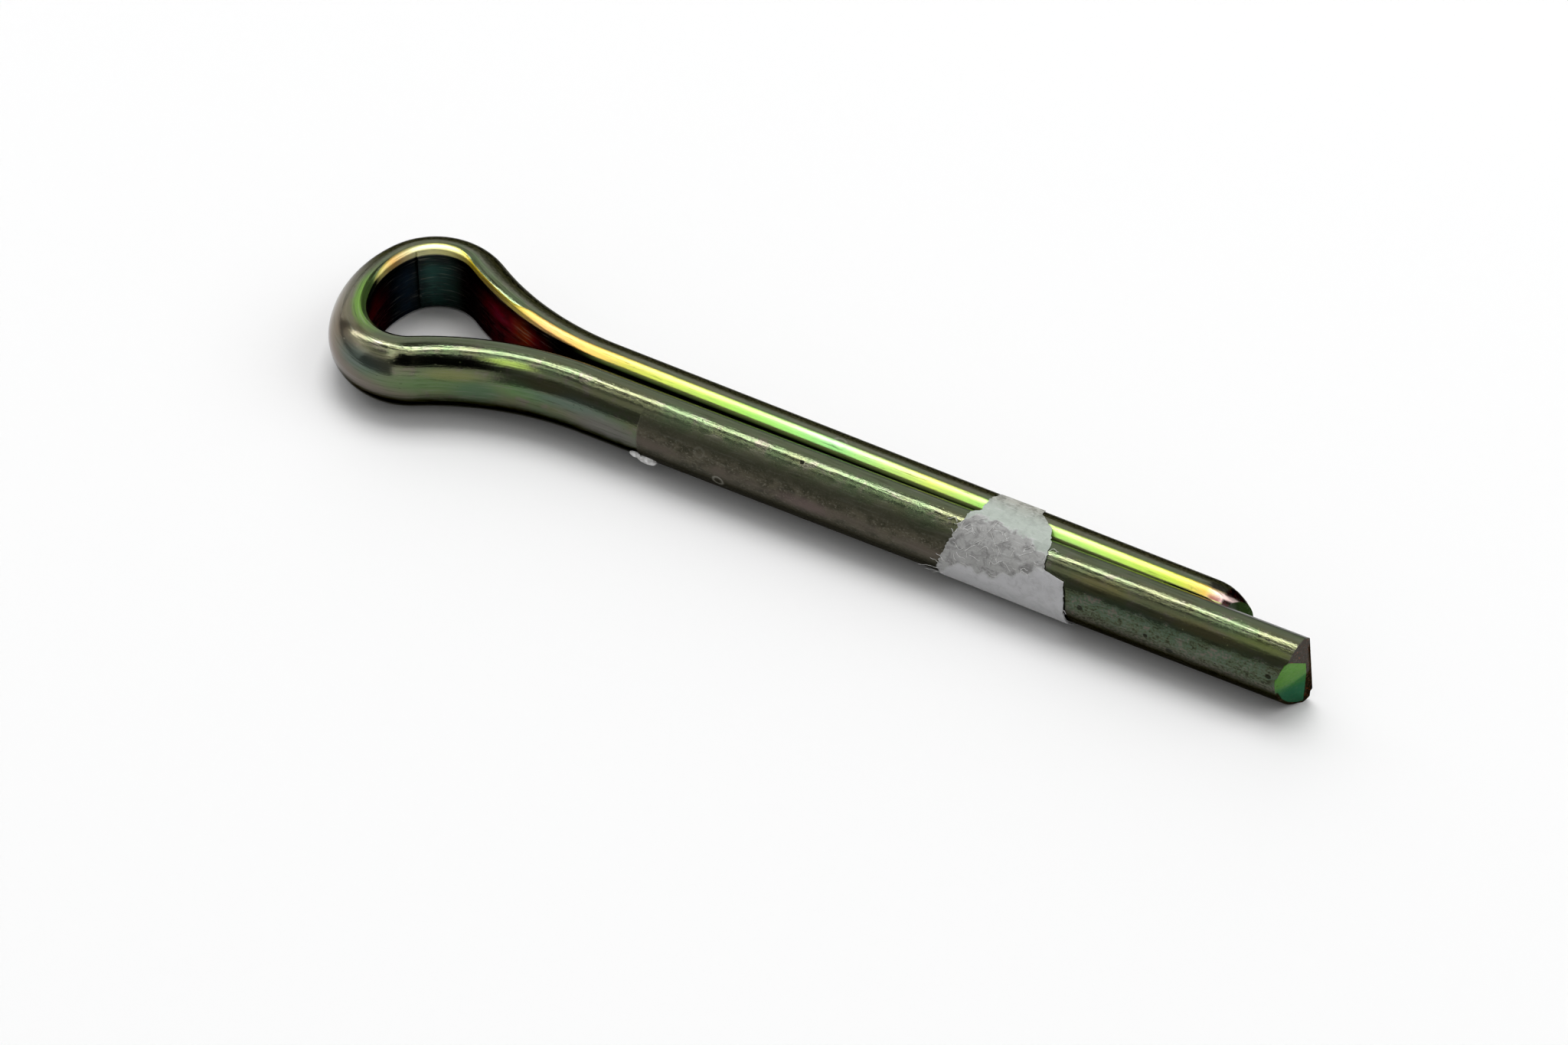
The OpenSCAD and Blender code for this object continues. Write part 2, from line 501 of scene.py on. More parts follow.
class Nodes:
    """A small hand for building a node tree: each call adds a node or two."""

    def __init__(self, tree):
        self.tree = tree
        self.shader = tree.nodes.get("Principled BSDF")

    def count(self, stage):
        print("nodes", stage + ":", len(self.tree.nodes))

    def put(self, socket, value):
        """Gives a socket a link, a number or a colour."""
        if isinstance(value, bpy.types.NodeSocket):
            self.tree.links.new(value, socket)
        else:
            socket.default_value = (*value, 1) if socket.type == "RGBA" else value

    def fill(self, node, **inputs):
        """Fills a node's inputs by name, or by number as i0, i1 and so on."""
        for key, value in inputs.items():
            name = int(key[1:]) if key[1:].isdigit() else key.replace("_", " ")
            self.put(node.inputs[name], value)

    def add(self, kind, output=0, settings=(), **inputs):
        node = self.tree.nodes.new("ShaderNode" + kind)
        for key, value in dict(settings).items():
            setattr(node, key, value)
        self.fill(node, **inputs)
        return node.outputs[output]

    def parts(self, vector):
        """The three parts of a vector."""
        node = self.tree.nodes.new("ShaderNodeSeparateXYZ")
        self.put(node.inputs[0], vector)
        return node.outputs

    def calc(self, operation, a, b=0.0, c=0.0):
        return self.add("Math", 0, {"operation": operation}, i0=a, i1=b, i2=c)

    def times(self, product, *factors):
        for factor in factors:
            product = self.calc("MULTIPLY", product, factor)
        return product

    def shift(self, value, pattern, amount):
        """Moves a value by a pattern, so that a border drawn with it is ragged."""
        return self.calc("MULTIPLY_ADD", pattern, amount, value)

    def step(self, value, low, high, to_low=0.0, to_high=1.0):
        """Runs smoothly from to_low to to_high while value goes from low to high."""
        if low > high:
            low, high, to_low, to_high = high, low, to_high, to_low
        return self.add("MapRange", 0, {"interpolation_type": "SMOOTHSTEP"},
                        i0=value, i1=low, i2=high, i3=to_low, i4=to_high)

    def between(self, value, low, high, soft):
        """1 while value is between low and high, with soft edges."""
        return self.times(self.step(value, low - soft, low + soft),
                          self.step(value, high + soft, high - soft))

    def mix(self, factor, a, b, how="MIX"):
        settings = {"data_type": "RGBA", "blend_type": how}
        return self.add("Mix", 2, settings, i0=factor, i6=a, i7=b)

    def lay(self, under, colour, *masks):
        """Lays a colour over another, as far as the product of the masks says."""
        return self.mix(self.times(*masks), under, colour)

    def dye(self, colour, tint):
        return self.mix(1.0, colour, tint, "MULTIPLY")

    def ramp(self, value, low, high, stops):
        """A colour that runs through stops, each (value, colour)."""
        share = self.add("MapRange", i0=value, i1=low, i2=high)
        node = self.tree.nodes.new("ShaderNodeValToRGB")
        self.put(node.inputs[0], share)
        elements = node.color_ramp.elements
        while len(elements) < len(stops):
            elements.new(1)
        for element, (place, _) in zip(elements, stops):
            element.position = (place - low) / (high - low)
        for element, (_, colour) in zip(elements, stops):
            element.color = (*colour, 1)
        return node.outputs[0]

    def noise(self, place, scale, detail=2.0, roughness=0.5, distortion=0.0):
        return self.add("TexNoise", Vector=place, Scale=scale, Detail=detail,
                        Roughness=roughness, Distortion=distortion)


# %% [markdown]
# ## Plating
#
# Yellow passivated zinc is a thin film over bright steel. Its tint follows the
# film's thickness, so it runs through gold, green, mint and rose along the wire
# and turns dark olive on the drawn back. An image could be wrapped round the
# wire, but noise and masks stay sharp at any distance. Each mask is laid out in
# the wire's own millimetres: along, out from the flat, high, and turn, which is
# the angle round the back from the top, in degrees. Along is negative on the
# long leg and positive on the short one.

# %% Read the wire's own measure
plating, n = new_material("plated_steel")
place = n.add("Attribute", 1, {"attribute_name": "wire"})
along, out, high = n.parts(place)
tip_face = n.add("Attribute", 2, {"attribute_name": "tip_face"})

from_back_axis = n.calc("SUBTRACT", out, back_t / MM)
turn = n.calc("DEGREES", n.calc("ARCTAN2", from_back_axis, high))
mm_for_degree = 0.04
round_place = n.add("CombineXYZ", X=along, Y=n.times(turn, mm_for_degree), Z=high)
drawn_out = 0.06
streak_place = n.add("CombineXYZ", X=n.times(along, drawn_out), Y=out, Z=high)

cloud = n.noise(round_place, 0.35, 4, 0.6)
blotch = n.noise(round_place, 1.3, 5, 0.62, 0.4)
grain = n.noise(round_place, 7, 4, 0.65)
streak = n.noise(streak_place, 9, 4, 0.6)
n.count("for the measures and patterns")


# %% A spot on the wire
def spread(place_along, place_turn, reach_along, reach_turn):
    """0 at a place on the wire, and 1 all round it at its reach."""
    a = n.calc("DIVIDE", n.calc("SUBTRACT", along, place_along), reach_along)
    t = n.calc("DIVIDE", n.calc("SUBTRACT", turn, place_turn), reach_turn)
    return n.calc("SQRT", n.calc("ADD", n.times(a, a), n.times(t, t)))


def spot(*where, soft=1.3):
    """1 at a spot on the wire, fading out at its reach, with a ragged rim."""
    ragged = n.shift(n.calc("SUBTRACT", spread(*where), 0.35), blotch, 0.7)
    return n.step(ragged, 1 + soft / 2, 1 - soft / 2)


# %% [markdown]
# ## The backs of the wire
#
# The round backs were dragged through a die and then handled, so their film is
# thin and olive. The short leg is browner, with painted shade where its back
# curves away from the top, the top of the long leg is greener, and patches of
# green, gold and rose drift over the eye.
# Noise alone would put such patches anywhere, so each one is a spot with a
# place and reach, along and round the wire, and a tint.

# %% Tints of the backs
base = n.mix(n.step(cloud, 0.38, 0.62), (0.115, 0.122, 0.07), (0.095, 0.13, 0.07))
base = n.lay(base, (0.135, 0.125, 0.1), n.step(blotch, 0.52, 0.7))
far_back = n.times(n.step(along, -1.8, 1.8), n.step(out, 0.3, 0.7))
base = n.lay(base, (0.125, 0.125, 0.1), far_back, 0.8)
# painted shade: the short leg's back darkens as it curves away from the top
base = n.lay(base, (0.05, 0.05, 0.043), far_back, n.step(turn, 24, 52))
far_grain = n.mix(n.step(grain, 0.42, 0.62), (0.055, 0.055, 0.042), (0.165, 0.155, 0.12))
base = n.lay(base, far_grain, far_back, 0.45)
near_side = n.step(along, 0.2, -0.2)
top_green = n.mix(n.step(turn, 4, 24), (0.048, 0.078, 0.036), (0.125, 0.145, 0.095))
base = n.lay(base, top_green, near_side, n.step(turn, 27, 20), 0.85)
# painted shade: past the neck, the long leg's edge beside the gap between the legs is
# nearly black
base = n.lay(base, (0.014, 0.022, 0.01), near_side, n.step(out, 0.42, 0.24),
             n.step(along, -10, -13))

# %% Patches over the eye and the long leg
patches = (
    ((-2.2, 66, 3.2, 34), (0.2, 0.155, 0.115)),
    ((-1.2, 95, 2.4, 22), (0.19, 0.125, 0.125)),
    ((-2.1, 16, 1.7, 9), (0.15, 0.3, 0.05)),
    ((-4.3, 92, 1.3, 22), (0.135, 0.115, 0.1)),
    ((-4.2, 62, 0.9, 14), (0.09, 0.13, 0.115)),
    ((-7.2, 76, 2.3, 13), (0.09, 0.16, 0.065)),
    ((-9.6, 84, 1.3, 13), (0.07, 0.125, 0.075)),
    ((-12.3, 72, 1.6, 10), (0.1, 0.19, 0.075)),
    ((-11.2, 41, 1.4, 4.5), (0.26, 0.36, 0.07)),
    ((-15.2, 70, 2.4, 11), (0.1, 0.145, 0.12)),
    ((-17.4, 88, 1.8, 14), (0.14, 0.13, 0.13)),
    ((-8.2, 64, 1.6, 7), (0.16, 0.17, 0.07)),
    ((-13.6, 58, 1.2, 8), (0.12, 0.12, 0.06)),
    ((-44.9, 46, 1.6, 9), (0.17, 0.155, 0.07)),
    ((-47.6, 66, 2.2, 8), (0.065, 0.11, 0.07)),
    ((-50.6, 52, 2.4, 8), (0.15, 0.135, 0.065)),
    ((-53.6, 44, 1.5, 7), (0.14, 0.17, 0.06)),
)
for where, colour in patches:
    base = n.lay(base, colour, spot(*where), 0.8)
n.count("with %d patches" % len(patches))

# %% [markdown]
# ## The film on the short leg's far side
#
# Fewer hands touch the outside of the short leg, so its film is thicker there
# and shows green, gold and rose in long soft clouds. The three tints follow one
# cloud pattern, because the tint is the film's thickness and changes in order.

# %% Lay the film
film = n.mix(n.step(cloud, 0.36, 0.5), (0.15, 0.25, 0.11), (0.3, 0.27, 0.11))
film = n.lay(film, (0.27, 0.17, 0.17), n.step(cloud, 0.54, 0.66))
base = n.lay(base, film, n.step(along, 2.5, 7), n.step(turn, 52, 94),
             n.step(blotch, 0.3, 0.62, 0.35, 0.85))

# %% [markdown]
# ## Glue residue
#
# Between the neck and the scrap of tape, the long leg keeps the glue of the tape
# that has come off. It is a dull brown skin with a sharp end, blotched, greener
# near the top and rosy below, and a dark band round its middle is a painted
# reflection of the dim room. It is a finish and not a piece, because it has no
# thickness that could be seen.

# %% Tint the residue and paint its dark reflection
residue = n.times(n.between(along, -37.6, -19.15, 0.06), n.step(turn, 33, 45),
                  n.step(n.shift(turn, blotch, 40), 48, 78))
glue_and_reflection = n.mix(n.step(blotch, 0.38, 0.62), (0.026, 0.024, 0.012), (0.085, 0.074, 0.05))
for colour, *masks in (
    ((0.13, 0.118, 0.09), n.step(grain, 0.52, 0.66)),
    ((0.05, 0.062, 0.034), n.step(turn, 72, 50), 0.6),
    # painted reflection: a dark band round the leg's middle, where the dim room is mirrored
    ((0.03, 0.028, 0.016), n.between(turn, 50, 66, 8), 0.55),
    ((0.095, 0.075, 0.06), n.between(turn, 78, 92, 7), n.step(cloud, 0.4, 0.6)),
    ((0.15, 0.1, 0.1), spot(-28.7, 86, 1.5, 9), 0.5),
):
    glue_and_reflection = n.lay(glue_and_reflection, colour, *masks)
base = n.lay(base, glue_and_reflection, residue)
n.count("with the residue")

# %% [markdown]
# ## Specks, the painted shade on the underside and dried bubbles
#
# Past the tape the long leg is speckled black, green and rose, where the film
# is eaten through. A ramp over two noises keeps the specks in the order of the
# film's tints. The underside is painted nearly black, as shade towards the
# table, and three bubbles of glue dried to pale rings.

# %% Speckle the end of the long leg
speckled = n.times(n.step(along, -43.0, -43.6), n.step(n.shift(turn, blotch, 24), 66, 82))
speck_mix = n.shift(n.times(blotch, 0.5), grain, 0.5)
speck_tint = n.ramp(speck_mix, 0.36, 0.64, [
    (0.4, (0.01, 0.01, 0.008)),
    (0.445, (0.055, 0.065, 0.04)),
    (0.49, (0.085, 0.11, 0.07)),
    (0.53, (0.07, 0.125, 0.09)),
    (0.59, (0.16, 0.135, 0.115)),
])
low_specks = n.mix(n.step(grain, 0.42, 0.58), (0.012, 0.01, 0.008), (0.16, 0.12, 0.105))
speck_tint = n.lay(speck_tint, low_specks, n.step(turn, 82, 98), 0.6)
base = n.lay(base, speck_tint, speckled, 0.85)

# %% Paint shade on the underside and draw the dried bubbles
# painted shade: the underside darkens to nearly black towards the table
underside_shade = n.step(n.shift(turn, blotch, 14), 98, 116)
base = n.lay(base, (0.014, 0.012, 0.005), underside_shade, 0.9)
bubbles = 0.0
for where, strength in (((-23.8, 104, 0.34, 9), 1.0), ((-22.7, 69, 0.34, 8), 0.2),
                        ((29.2, 13, 0.42, 7), 0.6)):
    rim = n.between(spread(*where), 0.62, 0.98, 0.16)
    bubbles = n.calc("MAXIMUM", bubbles, n.times(rim, strength))
base = n.lay(base, (0.3, 0.29, 0.25), bubbles, 0.7)
n.count("with the specks and bubbles")

# %% [markdown]
# ## The inner edge and its painted highlight
#
# The pressed facet along the short leg's inner edge carries the brightest
# stripe on the pin, a painted highlight in the film's tints: gold at the eye,
# then green and yellow by turns, and rose at the tip. The stripe lies on a
# slant of about 50 degrees between out and high, so it is masked by the
# distance along that slant.

# %% Mask the inner edge
slant = (0, 0.7615, 0.6482)
across = n.add("VectorMath", 1, {"operation": "DOT_PRODUCT"}, i0=place, i1=slant)
neck_dip, head_dip = n.between(along, 5.2, 10.2, 0.8), n.step(along, 1.4, -0.6)
band_top = n.shift(n.shift(1.63, neck_dip, -0.24), head_dip, -0.2)
over = n.calc("SUBTRACT", across, band_top)
highlight_band_mask = n.times(n.step(across, 1.02, 1.12), n.step(over, 0.03, -0.03),
                    n.step(along, -0.8, 0.1), n.step(out, 0.8, 0.6))

# %% Paint the highlight on the inner edge, tinted along the wire
# painted highlight: the stripe is near white, in the film's tints along the wire
band_film_highlight_shade = n.ramp(along, -2, 52, [
    (-1.0, tone(120, 130, 60)),
    (0.2, tone(245, 235, 150)),
    (1.2, tone(240, 195, 120)),
    (2.5, tone(253, 250, 195)),
    (4.4, tone(250, 244, 165)),
    (5.8, tone(215, 190, 50)),
    (7.6, tone(165, 140, 55)),
    (9.8, tone(205, 185, 80)),
    (12.0, tone(238, 190, 120)),
    (14.5, tone(238, 192, 105)),
    (19.0, tone(232, 222, 125)),
    (24.0, tone(190, 228, 130)),
    (29.0, tone(180, 226, 172)),
    (34.5, tone(232, 228, 135)),
    (38.0, tone(180, 222, 145)),
    (43.0, tone(205, 228, 140)),
    (48.0, tone(220, 222, 105)),
    (49.7, tone(232, 190, 100)),
    (50.5, tone(250, 222, 215)),
])
# painted shade: the stripe's lower part, towards the gap, is darker and greener
band_film_highlight_shade = n.lay(band_film_highlight_shade, n.dye(band_film_highlight_shade, (0.62, 0.8, 0.5)),
                  n.step(across, 1.5, 1.25), n.between(along, 16, 49.5, 1.5))
# painted shade: the stripe's top rim is darker
band_film_highlight_shade = n.lay(band_film_highlight_shade, n.dye(band_film_highlight_shade, (0.5, 0.52, 0.34)),
                  n.step(over, -0.14, -0.02))
# lay the painted highlight on the stripe
base = n.lay(base, band_film_highlight_shade, highlight_band_mask)
# painted bounce light: below the stripe, the short leg's flat in the gap is a bright green,
# as if lit by light thrown between the legs
painted_bounce_mask = n.times(n.between(across, 0.9, 1.07, 0.05), n.step(out, 0.3, 0.2),
                     n.step(along, 13.5, 16))
n.count("with the inner edge")

# %% [markdown]
# ## The dark inside of the eye
#
# The flat faces itself across the eye and mirrors little but its own dark
# film: wine red at the neck, blue green in the head. One ramp along the wire
# gives these tints, and the same ramp tints the gloss, because a metal's mirror
# takes the colour of its film also at a flat angle.

# %% Tint the flat
flat = n.times(n.step(out, 0.2, 0.08), n.step(across, 1.12, 1.02))
wall_film_and_shade = n.ramp(along, -6, 52, [
    (-3.0, (0.008, 0.008, 0.006)),
    (-0.8, (0.08, 0.006, 0.016)),
    (0.0, (0.045, 0.005, 0.012)),
    (0.9, (0.006, 0.008, 0.012)),
    (1.9, (0.012, 0.022, 0.036)),
    (2.5, (0.006, 0.01, 0.012)),
    (3.2, (0.02, 0.056, 0.048)),
    (4.4, (0.012, 0.026, 0.022)),
    (5.1, (0.007, 0.004, 0.004)),
    (6.6, (0.045, 0.005, 0.01)),
    (8.2, (0.085, 0.01, 0.026)),
    (9.4, (0.09, 0.018, 0.022)),
    (10.4, (0.13, 0.034, 0.012)),
    (11.4, (0.06, 0.006, 0.012)),
    (13.0, (0.008, 0.006, 0.005)),
    (16.0, (0.006, 0.009, 0.005)),
])
# painted shade: the flat darkens towards its top, under the stripe
wall_film_and_shade = n.lay(wall_film_and_shade, (0.004, 0.004, 0.004), n.step(high, 0.5, 1.6), 0.8)
wall_film_and_shade = n.lay(wall_film_and_shade, n.mix(0.5, wall_film_and_shade, (0.014, 0.012, 0.014)),
                  n.step(blotch, 0.45, 0.62))
base = n.lay(base, wall_film_and_shade, flat)
# paint the bounce light on the flat below the stripe
painted_bounce_tint = n.mix(n.step(across, 1.12, 0.9), (0.9, 1.0, 0.35), (0.3, 0.5, 0.1))
base = n.lay(base, painted_bounce_tint, painted_bounce_mask)

# %% Tint the gloss at flat angles
white = (1, 1, 1)
gloss_tint = n.mix(flat, white, n.mix(0.75, white, n.dye(wall_film_and_shade, (6, 6, 6))))
gloss_tint = n.lay(gloss_tint, (0.22, 0.22, 0.19), far_back)
# the gloss on the underside is dimmed along with its painted shade
gloss_tint = n.lay(gloss_tint, (0.15, 0.14, 0.1), underside_shade, 0.8)
n.fill(n.shader, Specular_Tint=gloss_tint)
n.count("with the inside of the eye")

# %% [markdown]
# ## The sheared faces
#
# A sheared face is smooth where the blade pressed it and torn where it broke
# off. The pressed facet of the long leg took a deep green film, with a rim that
# is burnt black and orange. The short leg's nose is nearly black, with a rose
# blush where the bright edge runs out. The marks on the faces tell the material
# which face is which.

# %% Tint the pressed facet, its painted dark top and its burnt rim
facet_tint_and_reflection = n.mix(n.step(n.shift(high, blotch, 1.2), 0.9, -0.3), (0.085, 0.25, 0.03),
                   (0.035, 0.15, 0.085))
# painted dark reflection: the facet is nearly black along its top, where the cut's rounded
# top would mirror a dim part of the room
facet_tint_and_reflection = n.lay(facet_tint_and_reflection, (0.012, 0.01, 0.008), n.step(high, 1.25, 1.5))
from_axis = n.calc("SQRT", n.calc("ADD", n.times(high, high),
                                  n.times(from_back_axis, from_back_axis)))
facet_rim = n.times(n.step(high, 0.2, -1.2), n.step(
    from_axis, back_r / MM - 0.2, back_r / MM - 0.1))
facet_rim = n.calc("MAXIMUM", facet_rim, n.step(out, 0.42, 0.3))
facet_rim = n.step(n.shift(facet_rim, blotch, 0.5), 0.6, 0.8)
burnt = n.mix(n.step(grain, 0.56, 0.66), (0.02, 0.013, 0.01), (0.22, 0.06, 0.022))
facet_tint_and_reflection = n.lay(facet_tint_and_reflection, burnt, facet_rim)

# %% Tint the nose and the marked faces
nose_tint = n.mix(n.step(grain, 0.45, 0.6), (0.016, 0.011, 0.01), (0.07, 0.018, 0.02))
base = n.lay(base, nose_tint, n.step(n.shift(along, blotch, 0.5), 50.75, 50.95),
             n.calc("SUBTRACT", 1, n.between(across, 1.3, 1.52, 0.06)))
base = n.lay(base, (0.24, 0.03, 0.045), highlight_band_mask, n.between(along, 49.9, 50.5, 0.15),
             n.step(n.shift(across, blotch, 0.4), 1.62, 1.38), 0.8)
torn_tint = n.mix(0.5, (0.03, 0.018, 0.014), burnt)
for mark_value, colour in ((1, torn_tint), (2, facet_tint_and_reflection), (3, (0.025, 0.045, 0.016))):
    base = n.lay(base, colour, n.step(tip_face, mark_value - 0.5, mark_value - 0.4))
n.count("with the tips")

# %% [markdown]
# ## Pits, scratches and the finish
#
# Small black pits break the film, and fine scratches from the drawing die run
# along the wire, pale where steel shows and dark where dirt sits. The same
# masks set the gloss: mirror-like on bare film, duller on glue and specks. They
# also drive a slight bump. Deeper forms are in the mesh.

# %% Pits and scratches
cells = n.add("TexVoronoi", Vector=round_place, Scale=2.1)
pit = n.times(n.step(cells, 0.13, 0.07), n.step(grain, 0.45, 0.55),
              n.calc("ADD", speckled, 0.25))
for where in ((-44.1, 82, 0.16, 3.5), (-47.7, 86, 0.13, 3), (-49.0, 97, 0.2, 4),
              (-51.4, 109, 0.2, 4), (-54.3, 77, 0.16, 3), (-28.1, 34, 0.13, 2.5)):
    pit = n.calc("MAXIMUM", pit, spot(*where, soft=0.5))
base = n.lay(base, (0.006, 0.006, 0.005), pit, 0.9)
base = n.lay(base, (0.2, 0.2, 0.17), n.step(streak, 0.52, 0.72),
             n.shift(0.35, residue, -0.22))
base = n.lay(base, (0.035, 0.045, 0.025), n.step(streak, 0.45, 0.3),
             n.shift(0.5, residue, -0.35))
# the long leg, from the eye to its tip, is made a little darker and yellower
base = n.lay(base, (0.02, 0.02, 0.0), n.step(along, -3, -9), 0.2)
n.fill(n.shader, Base_Color=base)

# %% Gloss
rough = n.shift(0.03, streak, 0.11)
rough = n.shift(rough, n.step(cloud, 0.4, 0.7), 0.05)
for mask, least in ((highlight_band_mask, n.step(across, 1.5, 1.3, 0.36, 0.55)),
                    (n.between(along, -4.4, -0.2, 0.5), 0.17), (far_back, 0.24),
                    (n.step(tip_face, 0.5, 0.6), 0.3), (flat, 0.3),
                    (painted_bounce_mask, 0.55), (residue, 0.48), (speckled, 0.42)):
    rough = n.calc("MAXIMUM", rough, n.times(mask, least))
# the flat with the painted bounce light is nearly matt
metallic = n.shift(n.shift(1.0, residue, -0.3), painted_bounce_mask, -0.9)
n.fill(n.shader, Roughness=rough, Metallic=metallic)

# %% Relief
relief = n.times(streak, 0.4)
for pattern, rise in ((grain, 0.3), (n.times(residue, blotch), 2.0),
                      (n.times(speckled, grain), 1.2), (pit, -1.5), (bubbles, 1.6)):
    relief = n.shift(relief, pattern, rise)
n.fill(n.shader, Normal=n.add("Bump", Height=relief, Distance=0.02 * MM, Strength=0.6))
wear(plating, wire)
n.count("in the plating")

# %% [markdown]
# ## The scrap of tape
#
# Small parts are banded on paper tape, and one torn piece still sticks round
# the legs. Paper tears in layers, so the scrap is a sheet with three depths: a
# thin, almost see-through skin on top, a fluffy torn middle, and the full paper
# below. A grid is laid over it, wrapped round the legs, given its depth and its
# torn outline row by row, and closed by Solidify.

# %% Lay a grid over the scrap
from mathutils import noise

far_turn, near_turn = -72, 138
rows, columns = 170, 70
deselect_everything()
bpy.ops.mesh.primitive_grid_add(x_subdivisions=columns, y_subdivisions=rows, size=1)
tape = bpy.context.object
tape.name = tape.data.name = "tape_scrap"
sheet = np.empty(3 * len(tape.data.vertices))
tape.data.vertices.foreach_get("co", sheet)
sheet = sheet.reshape(-1, 3)
across_share = sheet[:, 0] + 0.5
turn_at = far_turn + (near_turn - far_turn) * (sheet[:, 1] + 0.5)
print("grid points:", len(sheet))


# %% Tear its two long edges
def ragged(angle, seed, size):
    """A torn edge's wander in mm, for each angle round the legs."""
    return np.array([size * (noise.noise((0.09 * a, seed, 0)) + 0.6 * noise.noise(
        (0.31 * a, seed, 5)) + 0.35 * noise.noise((0.9 * a, seed, 9))) for a in angle])


left_at = np.interp(
    turn_at, [-72, -22, 7, 18, 32, 48, 63, 82, 100, 123, 131, 140],
    [22.4, 22.18, 21.98, 21.65, 21.45, 21.37, 21.14, 20.94, 20.72, 20.76, 21.2, 21.5])
right_at = np.interp(
    turn_at, [-72, -22, -6.5, 21, 34, 50, 53, 55, 79, 96, 126, 140],
    [24.3, 24.87, 25.7, 26.21, 26.26, 26.34, 26.95, 27.54, 27.72, 27.76, 27.87, 27.9])
left_at = left_at + ragged(turn_at, 1, 0.16)
right_at = right_at + ragged(turn_at, 2, 0.09)
x_at = left_at + (right_at - left_at) * across_share
print("tape's width, mm: %.2f to %.2f" % (min(right_at - left_at), max(right_at - left_at)))

# %% Tear it into layers
upper_tear = np.interp(x_at, [21.4, 22.2, 23.1, 24.0, 25.1, 26.2], [30, 16, 17, 19, 23, 34])
lower_tear = np.interp(x_at, [20.9, 21.9, 23.0, 24, 25.2, 26.1, 27],
                       [109, 84, 86, 80, 68, 53, 48])
wander = np.array([noise.noise((1.7 * x, 0.05 * t, 3)) for x, t in zip(x_at, turn_at)])
fluff = np.array([noise.noise((6 * x, 0.22 * t, 7)) for x, t in zip(x_at, turn_at)])
upper_step = np.clip((turn_at - upper_tear - 7 * wander - 5 * fluff) / 4 + 0.5, 0, 1)
lower_step = np.clip((turn_at - lower_tear - 9 * wander) / 2.2 + 0.5, 0, 1)
skin_mm, torn_mm, whole_mm, fluff_mm = 0.018, 0.04, 0.03, 0.014
depth = skin_mm + torn_mm * upper_step + whole_mm * lower_step
depth += fluff_mm * fluff * (0.25 + upper_step * (1 - lower_step))
print("paper, mm thick: %.3f to %.3f" % (depth.min(), depth.max()))


# %% Wrap it round the legs
def round_the_legs(x, turn, lift):
    """Places lift mm off the backs of the legs, at x mm and turn degrees from the top."""
    gap = seat_gap / MM / 2 - x * tan(leg_angle)
    angle = np.radians(turn)
    on_back = back_r / MM + np.abs(gap + back_t / MM) + lift
    on_top = (half / MM + lift) / np.maximum(np.cos(angle), 0.2)
    reach = np.where(np.cos(angle) > 0.5, np.minimum(on_back, on_top), on_back)
    return np.stack([x, -reach * np.sin(angle), reach * np.cos(angle)], -1) * MM


clear_mm = 0.004
wrapped = round_the_legs(x_at, turn_at, clear_mm + depth)
tape.data.vertices.foreach_set("co", wrapped.ravel())
layer = tape.data.attributes.new("layer", "FLOAT_VECTOR", "POINT")
layer.data.foreach_set("vector", np.column_stack(
    [upper_step, lower_step, turn_at / 100]).ravel())
tape.data.update()
reach = np.hypot(wrapped[:, 1], wrapped[:, 2]) / MM
print("reach of the paper, mm: %.2f to %.2f" % (reach.min(), reach.max()))

# %% Give the paper its thickness
edit_all()
bpy.ops.mesh.flip_normals()
set_mode("OBJECT")
leaning_out = sum(f.normal.z * f.center.z + f.normal.y * f.center.y > 0
                  for f in tape.data.polygons)
print("faces that look outwards: %d of %d" % (leaning_out, len(tape.data.polygons)))
thickest = float(depth.max())
weights = tape.vertex_groups.new(name="depth")
for index, share in enumerate(depth / thickest):
    weights.add([index], float(share), "REPLACE")
paper = tape.modifiers.new("paper", "SOLIDIFY")
paper.thickness = thickest * MM
paper.vertex_group = "depth"
paper.offset = -1
bpy.ops.object.modifier_apply(modifier="paper")
bpy.ops.object.shade_smooth_by_angle(angle=radians(40))
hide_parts("paper_tape_scrap")
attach(tape, "root")

# %% [markdown]
# ## Loose fibres
#
# Torn paper frays. Fine fibres lie on the middle layer and stand off the torn
# left edge. Hair could make them, but a few dozen bent tubes with their own
# seeded paths stay real meshes in the finished part.

# %% Points on the paper
import random

chance = random.Random(7)
paper_top = 0.075


def surface_point(x, turn, lift):
    """A point that stands lift mm off the paper round the backs of the legs."""
    return Vector(round_the_legs(x, turn, paper_top + lift))


# %% Bend the fibres
fibre_curve = bpy.data.curves.new("fibres", "CURVE")
fibre_curve.dimensions = "3D"
fibre_curve.bevel_depth = 0.01 * MM
fibre_curve.bevel_resolution = 1
fibre_curve.use_fill_caps = True
points_each = 6


def add_fibre(point_at):
    """Adds one fibre through the points that point_at(0), point_at(1) and so on give."""
    spline = fibre_curve.splines.new("POLY")
    spline.points.add(points_each - 1)
    for k, point in enumerate(spline.points):
        point.co = (*point_at(k), 1)


for _ in range(60):
    x, turn = chance.uniform(21.3, 26.4), chance.uniform(24, 92)
    drift, swing = chance.uniform(-0.13, 0.13), chance.uniform(-7, 7)
    curl = chance.uniform(-3.5, 3.5)
    add_fibre(lambda k: surface_point(
        x + drift * k, turn + swing * k * 0.35 + curl * sin(k), 0.008 * sin(k)))
for x, turn, drift, swing, rise in (
        (20.95, 104, -0.26, 1.5, 0.03), (21.05, 116, -0.22, 1.0, 0.02),
        (21.0, 96, -0.12, -1.4, 0.02), (21.1, 110, -0.16, 3.0, 0.03),
        (21.2, 88, -0.1, -1.8, 0.02), (27.75, 90, 0.04, 1.0, 0.01)):
    add_fibre(lambda k: surface_point(
        x + drift * k, turn + swing * k + 1.5 * sin(1.7 * k), rise * k * 0.5))
print("fibres:", len(fibre_curve.splines))

